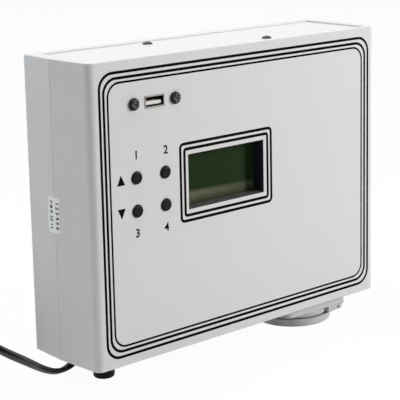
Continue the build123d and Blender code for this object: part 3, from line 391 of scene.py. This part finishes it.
line = bpy.data.curves.new("mains_lead", "CURVE")
line.dimensions = "3D"
line.resolution_u = 6
line.twist_mode = "Z_UP"
spline = line.splines.new("NURBS")
spline.points.add(len(route) - 1)
for point, (x, depth, height, tilt) in zip(spline.points, route):
    point.co = (*at(x, depth, height), 1)
    point.tilt = math.radians(tilt)
spline.order_u = 3
spline.use_endpoint_u = True
lead = bpy.data.objects.new("mains_lead", line)
bpy.context.collection.objects.link(lead)
bare = bpy.data.meshes.new_from_object(lead)
line.bevel_mode = "OBJECT"
line.bevel_object = profile
line.use_fill_caps = True


def pick(piece):
    """Make one object the only selected and active one."""
    bpy.ops.object.select_all(action="DESELECT")
    piece.select_set(True)
    bpy.context.view_layer.objects.active = piece


pick(lead)
bpy.ops.object.convert(target="MESH")
lead = bpy.context.object
bpy.data.objects.remove(profile)
bpy.ops.object.shade_smooth_by_angle(angle=math.radians(40))

lead_black, tree, shader = moulded("black_pvc", (0.006, 0.006, 0.009), dust=(0.16, 0.16, 0.17),
                                   cloudiness=0.02, settled=0.12, grain=900.0, roughness=0.36,
                                   specular=0.22, bump=0.00003)
lead.data.materials.clear()
lead.data.materials.append(lead_black)


# ------------------------------------------------------------------ plug and wire tie
# Moulded two-pin plug at the lead's end: a flat grip that narrows in steps to a ribbed sleeve.
# A paper-covered wire tie is wound round the coil and its two ends are twisted together.
PLUG_X = -176.0
PLUG_REAR = 83.0
PLUG_LENGTH = 36.0
PLUG_WIDTH = 35.3
PLUG_THICK = 13.7
PLUG_CORNER = 4.5
PLUG_STEPS = [
    # how far along from the face, width, thickness
    (11.0, 35.3, 13.7), (14.5, 34.0, 13.3), (17.5, 28.0, 12.4), (21.0, 20.0, 11.4),
    (23.0, 17.5, 10.9), (23.5, 15.5, 9.9), (25.0, 15.2, 9.7), (25.5, 16.6, 10.4),
    (27.0, 15.6, 10.0), (27.5, 13.4, 9.0), (29.0, 13.2, 8.8), (29.5, 14.0, 9.4),
    (31.0, 13.0, 9.0), (31.5, 10.8, 7.8), (33.0, 10.4, 7.6), (33.5, 11.2, 8.2),
    (35.4, 10.2, 7.6), (36.0, 8.6, 6.4),
]


def extrude_on(step, resize, centre, turn=0.0):
    """Extrude the picked face along depth, then scale and turn it about its new centre."""
    bpy.ops.mesh.extrude_region_move(TRANSFORM_OT_translate={"value": (0, step, 0)})
    bpy.ops.transform.resize(value=(resize[0], 1, resize[1]), center_override=centre)
    if turn:
        bpy.ops.transform.rotate(value=turn, orient_axis="Y", orient_type="GLOBAL",
                                 center_override=centre)


def start_section(name, width, thick, centre, rounding):
    """Upright rounded rectangle facing the front, left in edit mode with its face picked."""
    bpy.ops.object.select_all(action="DESELECT")
    bpy.ops.mesh.primitive_plane_add(size=1, rotation=(math.radians(90), 0, 0))
    piece = bpy.context.object
    piece.name = name
    piece.scale = (width / 1000, thick / 1000, 1)
    piece.location = centre
    bpy.ops.object.transform_apply(location=True, rotation=True, scale=True)
    bpy.ops.object.mode_set(mode="EDIT")
    bpy.ops.mesh.select_all(action="SELECT")
    bpy.ops.mesh.bevel(offset=rounding / 1000, segments=5, affect="VERTICES")
    bpy.ops.mesh.select_all(action="SELECT")
    return piece


def end_section(piece, angle):
    bpy.ops.mesh.select_all(action="SELECT")
    bpy.ops.mesh.normals_make_consistent(inside=False)
    bpy.ops.object.mode_set(mode="OBJECT")
    pick(piece)
    bpy.ops.object.shade_smooth_by_angle(angle=math.radians(angle))


plug_face = PLUG_REAR - PLUG_LENGTH
plug_height = TABLE + PLUG_THICK / 2
RIM = 1.2                  # rounding of the plug's front rim
plug = start_section("plug_grip", PLUG_WIDTH - RIM, PLUG_THICK - RIM,
                     at(PLUG_X, plug_face, plug_height), PLUG_CORNER)
width, thick, along = PLUG_WIDTH - RIM, PLUG_THICK - RIM, 0.0
for next_along, next_width, next_thick in [(RIM / 2, PLUG_WIDTH, PLUG_THICK)] + PLUG_STEPS:
    extrude_on((next_along - along) / 1000, (next_width / width, next_thick / thick),
               at(PLUG_X, plug_face + next_along, plug_height))
    width, thick, along = next_width, next_thick, next_along
end_section(plug, 50)
plug_black, tree, shader = moulded("plug_black", (0.014, 0.014, 0.016), dust=(0.16, 0.16, 0.15),
                                   cloudiness=0.06, settled=0.2, grain=1100.0, roughness=0.42,
                                   edge=0.0003)
plug.data.materials.append(plug_black)
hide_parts("plug_body")
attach(plug, "case")

tie_low, tie_high = [corner * 1000 for corner in
                     (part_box("cord_tie")[0][1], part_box("cord_tie")[1][1])]
TIE_SLACK = 0.8            # the tie's outside over the top of the coil
TIE_FLOOR_GAP = 0.05
TIE_WIDTH = 3.6
TIE_THICK = 0.7
TIE_CORNER = 2.2
KNOT_LENGTH = 7.2
KNOT_WIDTH = 2.3
KNOT_THICK = 0.8
KNOT_CORNER = 0.2
TWIST_STEPS = 12
TWIST_TURN = 33            # degrees at each step
tie_top = CASE_BOTTOM + resting(90) + LEAD_WIDTH * 1.5 + LAYER_GAP + TIE_SLACK
bpy.ops.object.select_all(action="DESELECT")
bpy.ops.mesh.primitive_cube_add(size=1)
band = bpy.context.object
band.name = "wire_tie"
depth_low = tie_low + KNOT_LENGTH
band.scale = (TIE_WIDTH / 1000, (tie_high - depth_low) / 1000, (tie_top - TIE_FLOOR_GAP) / 1000)
band.location = (COIL_X / 1000, (tie_high + depth_low) / 2000, (tie_top + TIE_FLOOR_GAP) / 2000)
bpy.ops.object.transform_apply(location=True, rotation=True, scale=True)
bpy.ops.object.mode_set(mode="EDIT")
bpy.ops.mesh.select_mode(type="FACE")
bpy.ops.mesh.select_all(action="DESELECT")
bpy.ops.object.mode_set(mode="OBJECT")
for face in band.data.polygons:
    face.select = abs(face.normal.x) > 0.5
bpy.ops.object.mode_set(mode="EDIT")
bpy.ops.mesh.delete(type="FACE")
bpy.ops.mesh.select_mode(type="EDGE")
bpy.ops.object.mode_set(mode="OBJECT")
for edge in band.data.edges:
    ends = [band.data.vertices[index].co for index in edge.vertices]
    edge.select = abs(ends[0].x - ends[1].x) > 0.001
bpy.ops.object.mode_set(mode="EDIT")
bpy.ops.mesh.bevel(offset=TIE_CORNER / 1000, segments=5)
bpy.ops.object.mode_set(mode="OBJECT")
pick(band)
wall = band.modifiers.new("wall", "SOLIDIFY")
wall.thickness = TIE_THICK / 1000
wall.offset = -1
bpy.ops.object.modifier_apply(modifier="wall")
bpy.ops.object.shade_smooth_by_angle(angle=math.radians(40))

twist_height = 1.5
twist_step = KNOT_LENGTH / TWIST_STEPS
knot = start_section("tie_ends", KNOT_WIDTH, KNOT_THICK,
                     Vector((COIL_X, depth_low, twist_height)) / 1000, KNOT_CORNER)
for step in range(1, TWIST_STEPS + 1):
    centre = Vector((COIL_X, depth_low - step * twist_step, twist_height)) / 1000
    extrude_on(-twist_step / 1000, (1, 1), centre, turn=math.radians(TWIST_TURN))
end_section(knot, 50)
tie_paper, tree, shader = moulded("tie_paper", (0.05, 0.05, 0.055), dust=(0.2, 0.2, 0.19),
                                  cloudiness=0.1, grain=700.0, roughness=0.6, edge=0.0002)
for piece in (band, knot):
    piece.data.materials.append(tie_paper)
    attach(piece, "case")
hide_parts("cord_tie")

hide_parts("mains_cord", "cord_coil", "cord_tail")
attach(lead, "case")


# ------------------------------------------------------------------ case mouldings
# Two white ABS mouldings with a fine spark texture, and a smoother white plate let into their
# top and bottom. They carry faint dust, and their edges are painted slightly paler as a painted
# highlight.
case_white, tree, shader = moulded("case_white", (0.725, 0.72, 0.715), dust=(0.55, 0.54, 0.52),
                                   cloudiness=0.04, grain=1700.0, roughness=0.42, specular=0.35,
                                   edge=0.0006, edge_share=0.15)
dress(case_white, "front_cover", "rear_tray")

plate_white, tree, shader = moulded("plate_white", (0.73, 0.73, 0.73), dust=(0.58, 0.58, 0.57),
                                    cloudiness=0.03, grain=700.0, roughness=0.36, specular=0.35,
                                    edge=0.0003, edge_share=0.1)
dress(plate_white, "top_plate", "bottom_plate")


# ------------------------------------------------------------------ seal label
# Paper seal folded over the seam on the left side. It carries two rows of plain numbers, one
# on each side of the fold.
LABEL_MIDDLE = 85.9
LABEL_PROUD = 0.17
SEAM_DEPTH = 33.5
SEAM_HALF = 116.0          # half width of the case at the seam
FRONT_LEAN = 2.0 / SEAM_DEPTH  # how the side leans in before and behind the seam, per mm
REAR_LEAN = -1.5 / 27.5
LABEL_ROWS = (("1 2 3 4 5 6", 31.3, FRONT_LEAN), ("7 8 9 10 11", 37.0, REAR_LEAN))
LABEL_TEXT_SIZE = 0.0037
INK_THICK = 0.00004
LETTER_WEIGHT = 0.022      # outward offset of the letters' outlines, for each metre of size

paper, tree, shader = moulded("seal_paper", (0.96, 0.96, 0.95), dust=(0.6, 0.59, 0.56),
                              cloudiness=0.05, grain=500.0, roughness=0.6, specular=0.5,
                              edge=0.0001)
dress(paper, "seal_label")


def thicken_ink(piece):
    """Apply a flat piece's place and turn, and give it the ink's thickness."""
    pick(piece)
    bpy.ops.object.transform_apply(location=True, rotation=True, scale=True)
    ink_layer = piece.modifiers.new("ink", "SOLIDIFY")
    ink_layer.thickness = INK_THICK
    ink_layer.offset = 1
    bpy.ops.object.modifier_apply(modifier="ink")


def printed_text(name, words, size, place, turn):
    """Lettering as a thin mesh, centred on a place and turned to its wall."""
    bpy.ops.object.select_all(action="DESELECT")
    bpy.ops.object.text_add()
    lettering = bpy.context.object
    lettering.name = name
    lettering.data.body = words
    lettering.data.size = size
    lettering.data.offset = size * LETTER_WEIGHT
    lettering.data.align_x = "CENTER"
    lettering.data.align_y = "CENTER"
    bpy.ops.object.convert(target="MESH")
    lettering = bpy.context.object
    lettering.location = place
    lettering.rotation_euler = turn
    thicken_ink(lettering)
    return lettering


label_prints = []
for index, (numbers, depth, slope) in enumerate(LABEL_ROWS):
    wall = SEAM_HALF + slope * (depth - SEAM_DEPTH) + LABEL_PROUD
    outward = Vector((-1, -slope, 0)).normalized()
    reading = Vector((0, 0, -1))
    axes = Matrix((reading, outward.cross(reading), outward)).transposed()
    label_prints.append(printed_text(f"label_numbers_{index + 1}", numbers, LABEL_TEXT_SIZE,
                                     at(-wall, depth, LABEL_MIDDLE), axes.to_euler()))


# ------------------------------------------------------------------ printing on the face
# Black screen print: three lines round the face, two round the display, an arrow beside two of
# the keys and plain numbers at all four. The ink stands a few hundredths proud.
BORDER_LINES = [
    # left, right, bottom, top, corner radius, width
    (-107.35, 107.86, 6.0, 168.3, 9.0, 1.62),
    (-104.55, 104.85, 9.25, 165.15, 8.5, 1.62),
    (-101.78, 101.95, 11.85, 162.55, 8.0, 1.20),
]
DISPLAY_LINES = [          # the same values, round the display
    (-50.97, 21.0, 75.95, 121.5, 2.4, 1.72),
    (-47.9, 18.0, 79.1, 118.35, 1.5, 1.72),
]
ARROW_RADIUS = 0.0032
ARROW_STRETCH = 1.24
NUMBER_SIZE = 0.0068
FACING_FRONT = (math.radians(90), 0, 0)


def printed_ring(name, left, right, bottom, top, radius, width):
    """Rounded rectangular line; its sides are given at the middle of the line."""
    half = width / 2
    bpy.ops.object.select_all(action="DESELECT")
    bpy.ops.mesh.primitive_plane_add(size=1)
    ring = bpy.context.object
    ring.name = name
    ring.scale = ((right - left + width) / 1000, (top - bottom + width) / 1000, 1)
    bpy.ops.object.transform_apply(scale=True)
    bpy.ops.object.mode_set(mode="EDIT")
    bpy.ops.mesh.select_all(action="SELECT")
    bpy.ops.mesh.bevel(offset=(radius + half) / 1000, segments=10, affect="VERTICES")
    bpy.ops.mesh.select_all(action="SELECT")
    bpy.ops.mesh.inset(thickness=width / 1000)
    bpy.ops.mesh.delete(type="FACE")
    bpy.ops.object.mode_set(mode="OBJECT")
    ring.rotation_euler = FACING_FRONT
    ring.location = at((left + right) / 2, 0, (bottom + top) / 2)
    thicken_ink(ring)
    return ring


prints = []
for index, values in enumerate(BORDER_LINES):
    prints.append(printed_ring(f"border_line_{index + 1}", *values))
for index, values in enumerate(DISPLAY_LINES):
    prints.append(printed_ring(f"display_line_{index + 1}", *values))

for name, x, height, turn in (("arrow_up", -94.3, 106.7, 0), ("arrow_down", -94.4, 89.4, 180)):
    bpy.ops.object.select_all(action="DESELECT")
    bpy.ops.mesh.primitive_circle_add(vertices=3, radius=ARROW_RADIUS, fill_type="NGON")
    arrow = bpy.context.object
    arrow.name = name
    arrow.rotation_euler = FACING_FRONT
    arrow.scale = (1, ARROW_STRETCH, 1)
    bpy.ops.object.transform_apply(rotation=True, scale=True)
    arrow.rotation_euler = (0, math.radians(turn), 0)
    arrow.location = at(x, 0, height)
    thicken_ink(arrow)
    prints.append(arrow)

for number, x, height in (("1", -83.1, 120.2), ("2", -61.7, 120.2), ("3", -83.5, 75.4),
                          ("4", -62.2, 75.0)):
    prints.append(printed_text(f"key_number_{number}", number, NUMBER_SIZE, at(x, 0, height),
                               FACING_FRONT))

ink, tree, shader = moulded("ink", (0.003, 0.003, 0.004), dust=(0.2, 0.2, 0.2),
                            cloudiness=0.006, grain=1200.0, roughness=0.55, specular=0.02,
                            edge=0.0001, edge_share=0.0)
for piece in prints + label_prints:
    piece.data.materials.clear()
    piece.data.materials.append(ink)
    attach(piece, "case")


# ------------------------------------------------------------------ display
# Graphic display behind a dark spacer: polished glass over a dark green cell with its grid of
# dots, in a black bezel. A pale band along the foot of the glass is painted light, for light
# falling through the window.
spacer_dark, tree, shader = moulded("spacer_dark", (0.008, 0.010, 0.018), dust=(0.16, 0.15, 0.135),
                                    cloudiness=0.04, settled=1.1, grain=600.0, roughness=0.55,
                                    specular=0.2, edge=0.0001, edge_share=0.1)
dress(spacer_dark, "display_spacer", "display_bezel")

WINDOW_LEFT = -45.2
WINDOW_FOOT = 82.4
LIT_BAND_LEFT = 0.0094         # height of the painted lit band at the window's left edge
LIT_BAND_FALL = 0.030          # how much lower it is for each metre to the right
LIT_BAND_SOFT = 0.0030         # over which its upper edge fades
CORNER_WIDE = 0.0028       # a second trace runs up the left edge
CORNER_TALL = 0.019
LIT_BAND_THIN = 90.0           # how fast the painted light thins below its upper edge, per metre
LIT_BAND_FADE = 14.0           # how fast it darkens to the right, per metre
LIT_BAND_SHARE = 0.75          # its strength where it is thickest
STREAK_LEAST = 0.7         # the streaks in it vary its strength from this up
STREAK_RANGE = 0.6
CELL_SIZE = 0.00045

display = bpy.data.materials.new("display_glass")
display.use_nodes = True
tree = display.node_tree
shader = tree.nodes["Principled BSDF"]
place = tree.nodes.new("ShaderNodeTexCoord").outputs["Object"]
clouds = noise(tree, place, 30.0, 2.0)
dots = tree.nodes.new("ShaderNodeTexBrick")
dots.offset = 0.0
dots.inputs["Scale"].default_value = 1.0
dots.inputs["Brick Width"].default_value = CELL_SIZE
dots.inputs["Row Height"].default_value = CELL_SIZE
dots.inputs["Mortar Size"].default_value = CELL_SIZE / 11
dots.inputs["Color1"].default_value = (0.013, 0.034, 0.006, 1)
dots.inputs["Color2"].default_value = (0.015, 0.037, 0.007, 1)
dots.inputs["Mortar"].default_value = (0.020, 0.043, 0.010, 1)
upright = tree.nodes.new("ShaderNodeMapping")
upright.inputs["Rotation"].default_value = (math.radians(90), 0, 0)
tree.links.new(place, upright.inputs["Vector"])
tree.links.new(upright.outputs["Vector"], dots.inputs["Vector"])
cell = tint(tree, clouds, dots.outputs["Color"], (0.014, 0.027, 0.010, 1))
spot = tree.nodes.new("ShaderNodeSeparateXYZ")
tree.links.new(place, spot.inputs[0])
# Painted light: a pale olive band along the foot of the glass and up its left edge, brightest at
# the lower left and darker to the right, mixed into the cell's colour for light from above falling
# through the window onto the lower glass.
corner = at(WINDOW_LEFT, 0, WINDOW_FOOT)
along = maths(tree, "SUBTRACT", spot.outputs["X"], corner.x)
above = maths(tree, "SUBTRACT", spot.outputs["Z"], corner.z)
lit_band_top = maths(tree, "SUBTRACT", LIT_BAND_LEFT, maths(tree, "MULTIPLY", along, LIT_BAND_FALL))
inside = maths(tree, "SUBTRACT", lit_band_top, above)
edge = maths(tree, "DIVIDE", inside, LIT_BAND_SOFT, clamp=True)
thinner = maths(tree, "SUBTRACT", 1.0, maths(tree, "MULTIPLY", inside, LIT_BAND_THIN), clamp=True)
wide = maths(tree, "SUBTRACT", 1.0, maths(tree, "DIVIDE", along, CORNER_WIDE), clamp=True)
tall = maths(tree, "SUBTRACT", 1.0, maths(tree, "DIVIDE", above, CORNER_TALL), clamp=True)
trace = maths(tree, "MAXIMUM", maths(tree, "MULTIPLY", edge, thinner),
              maths(tree, "MULTIPLY", wide, tall))
streak = maths(tree, "ADD", STREAK_LEAST,
               maths(tree, "MULTIPLY", noise(tree, place, 160.0, 3.0), STREAK_RANGE))
painted_light = maths(tree, "MULTIPLY", maths(tree, "MULTIPLY", trace, LIT_BAND_SHARE), streak, clamp=True)
fade = maths(tree, "SUBTRACT", 1.0, maths(tree, "MULTIPLY", along, LIT_BAND_FADE), clamp=True)
painted_light_color = tint(tree, fade, (0.125, 0.135, 0.080, 1), (0.290, 0.290, 0.210, 1))
tree.links.new(tint(tree, painted_light, cell, painted_light_color), shader.inputs["Base Color"])
shader.inputs["Roughness"].default_value = 0.15
shader.inputs["Specular IOR Level"].default_value = 0.06
dress(display, "display_glass")


# ------------------------------------------------------------------ keys
# Four black domed keys, satin from use.
key_black, tree, shader = moulded("key_black", (0.007, 0.007, 0.010), dust=(0.12, 0.12, 0.13),
                                  cloudiness=0.015, grain=900.0, roughness=0.34, specular=0.12,
                                  edge=0.0003, edge_share=0.1)
dress(key_black, "key_up", "key_down", "key_menu", "key_enter")


# ------------------------------------------------------------------ data socket
# Nickel shell with a flared mouth round a white tongue, its inside painted dark as painted shade,
# and two black screws beside it whose edges, the cross slots among them, are painted near white as
# painted highlights. The top and bottom plates' screws are the same.
nickel, tree, shader = moulded("nickel", (0.66, 0.65, 0.63), dust=(0.3, 0.29, 0.27),
                               cloudiness=0.06, grain=800.0, roughness=0.28, edge=0.0001)
shader.inputs["Metallic"].default_value = 1.0
dress(nickel, "coin_cell", "plug_pins", "earth_clips")

MOUTH_DEPTH = 0.0002       # the shell keeps its colour as far in as this and is painted dark behind it, painted shade
# Painted shade: this nickel is painted darker than the bare nickel, and near black behind
# MOUTH_DEPTH, for the shade inside the socket.
shell_nickel_painted_shade, tree, shader = moulded("shell_nickel_painted_shade", (0.30, 0.29, 0.28), dust=(0.3, 0.29, 0.27),
                                     cloudiness=0.06, grain=800.0, roughness=0.28, edge=0.0001)
shader.inputs["Metallic"].default_value = 1.0
spot = tree.nodes.new("ShaderNodeSeparateXYZ")
tree.links.new(tree.nodes.new("ShaderNodeTexCoord").outputs["Object"], spot.inputs[0])
behind = maths(tree, "SUBTRACT", spot.outputs["Y"], FACE_DEPTH / 1000)
painted_shade = maths(tree, "DIVIDE", behind, MOUTH_DEPTH, clamp=True)
bright = shader.inputs["Base Color"].links[0].from_socket
tree.links.new(tint(tree, painted_shade, bright, (0.030, 0.028, 0.027, 1)), shader.inputs["Base Color"])
dress(shell_nickel_painted_shade, "usb_shell")

tongue_white, tree, shader = moulded("tongue_white", (0.90, 0.90, 0.89), dust=(0.4, 0.39, 0.36),
                                     cloudiness=0.03, grain=900.0, roughness=0.35, edge=0.0001)
dress(tongue_white, "usb_tongue")

# The contacts' gold is painted dark, well below bright gold, as painted shade inside the socket.
contact_gold, tree, shader = moulded("contact_gold", (0.30, 0.22, 0.10), dust=(0.2, 0.15, 0.09),
                                     cloudiness=0.1, grain=900.0, roughness=0.35, edge=0.0001)
shader.inputs["Metallic"].default_value = 1.0
dress(contact_gold, "usb_contacts")

# Painted highlights: the edge mask paints the screws' slots and rims near white, standing for
# glints.
screw_black, tree, shader = moulded("screw_black", (0.005, 0.005, 0.006), dust=(0.2, 0.19, 0.18),
                                    cloudiness=0.01, grain=700.0, roughness=0.10, specular=0.18,
                                    edge=0.0008, edge_color=(0.95, 0.93, 0.90), edge_share=1.0)
dress(screw_black, "usb_screws", "top_plate_screws", "bottom_plate_screws")


# ------------------------------------------------------------------ outlet
# Grey thermoplastic flush outlet on a soft gasket, its hinged lid closed by a spring. The pin
# and the four screws are zinc plated, the sleeves are brass.
outlet_grey, tree, shader = moulded("outlet_grey", (0.61, 0.61, 0.615), dust=(0.35, 0.35, 0.34),
                                    cloudiness=0.06, grain=1400.0, roughness=0.42, specular=0.2,
                                    edge=0.0004)
dress(outlet_grey, "outlet_flange", "outlet_cup", "outlet_base", "outlet_lid")

gasket, tree, shader = moulded("gasket_grey", (0.10, 0.10, 0.105), dust=(0.3, 0.3, 0.28),
                               cloudiness=0.2, grain=700.0, roughness=0.8)
dress(gasket, "outlet_gasket")

zinc, tree, shader = moulded("zinc", (0.56, 0.56, 0.54), dust=(0.3, 0.28, 0.24),
                             cloudiness=0.2, grain=600.0, roughness=0.35, edge=0.0002)
shader.inputs["Metallic"].default_value = 1.0
dress(zinc, "case_screws", "board_screws", "transformer_brackets", "transformer_screws",
      "outlet_screws", "lid_pin", "lid_spring")

brass, tree, shader = moulded("brass", (0.60, 0.43, 0.16), dust=(0.25, 0.18, 0.10),
                              cloudiness=0.25, grain=600.0, roughness=0.3, edge=0.0002)
shader.inputs["Metallic"].default_value = 1.0
dress(brass, "outlet_sockets")


# ------------------------------------------------------------------ fuse and bushing
# Black phenolic fuse holder with its cap and nut, the lead's bushing, and the glass fuse.
black_moulding, tree, shader = moulded("black_moulding", (0.005, 0.005, 0.006),
                                       dust=(0.12, 0.12, 0.11), cloudiness=0.02, grain=1200.0,
                                       roughness=0.5, specular=0.1, edge=0.0003, edge_share=0.1)
dress(black_moulding, "fuse_holder", "fuse_nut", "fuse_cap", "cord_bushing", "usb_body",
      "key_switches", "microchips", "voltage_regulator", "coin_cell_holder", "board_headers")
fuse_tube, tree, shader = moulded("fuse_tube", (0.75, 0.76, 0.75), grain=600.0, roughness=0.15)
dress(fuse_tube, "fuse")


# ------------------------------------------------------------------ boards and transformer
# Green solder-masked boards with their relay, capacitors, heat sink and terminals, and the
# laminated transformer with its taped winding.
board_green, tree, shader = moulded("board_green", (0.02, 0.13, 0.05), dust=(0.06, 0.22, 0.09),
                                    cloudiness=0.4, grain=500.0, roughness=0.35)
dress(board_green, "display_board", "key_board", "main_board")
relay_blue, tree, shader = moulded("relay_blue", (0.02, 0.08, 0.33), grain=900.0, roughness=0.3)
dress(relay_blue, "relay")
can_sleeve, tree, shader = moulded("can_sleeve", (0.015, 0.015, 0.03), grain=900.0,
                                   roughness=0.25)
dress(can_sleeve, "capacitors")
fins, tree, shader = moulded("heat_sink_black", (0.05, 0.05, 0.055), grain=900.0, roughness=0.4)
shader.inputs["Metallic"].default_value = 0.8
dress(fins, "heat_sink")
terminal, tree, shader = moulded("terminal_green", (0.03, 0.24, 0.08), grain=900.0)
dress(terminal, "terminal_block")
core, tree, shader = moulded("core_steel", (0.16, 0.15, 0.15), cloudiness=0.3, grain=400.0)
shader.inputs["Metallic"].default_value = 0.7
dress(core, "transformer_core")
tape, tree, shader = moulded("winding_tape", (0.55, 0.40, 0.06), grain=500.0, roughness=0.35)
dress(tape, "transformer_winding")
wire, tree, shader = moulded("inner_wire", (0.02, 0.02, 0.022), grain=900.0, roughness=0.4)
dress(wire, "inner_leads")
